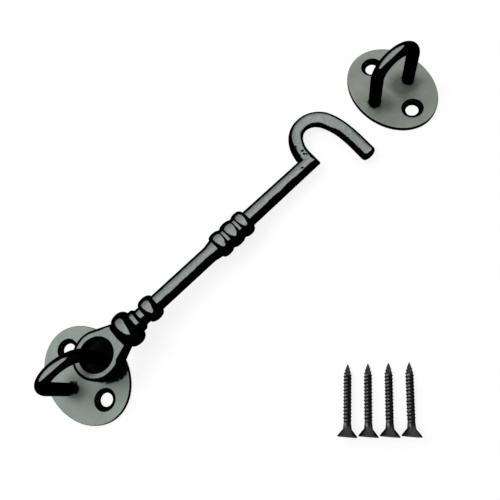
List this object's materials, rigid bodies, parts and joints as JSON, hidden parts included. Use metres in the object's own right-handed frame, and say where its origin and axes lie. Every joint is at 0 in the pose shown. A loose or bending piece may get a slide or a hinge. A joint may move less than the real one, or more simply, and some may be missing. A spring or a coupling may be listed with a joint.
{
  "type": "hook and eye latch",
  "caption": "Cabin hook: a turned, cast hook whose eye swings on a stapled oval plate, with a stapled keeper plate and countersunk screws.",
  "frame": {"origin": "centre of the pivot backplate's flat back face", "axes": "+X along the hook's shaft towards the keeper, +Z square to the plates and away from their backs, +Y across the shaft"},
  "size_m": [0.2107, 0.1265, 0.0294],
  "materials": {
    "plate_gunmetal": "satin",
    "black_rod": "semi-gloss",
    "black_casting": "semi-gloss",
    "screw_black": "satin"
  },
  "bodies": {
    "plates": {"pivot_backplate": "plate_gunmetal", "pivot_staple": "black_rod", "keeper_backplate": "plate_gunmetal", "keeper_staple": "black_rod", "screw_1": "screw_black", "screw_2": "screw_black", "screw_3": "screw_black", "screw_4": "screw_black"},
    "hook": {"hook": "black_casting"}
  },
  "joints": [
    {"name": "hook_swing", "type": "hinge", "parent": "plates", "child": "hook", "pos_m": [0.0088, 0, 0.0108], "axis": [0, 0, 1], "range_deg": [-40, 150]}
  ]
}
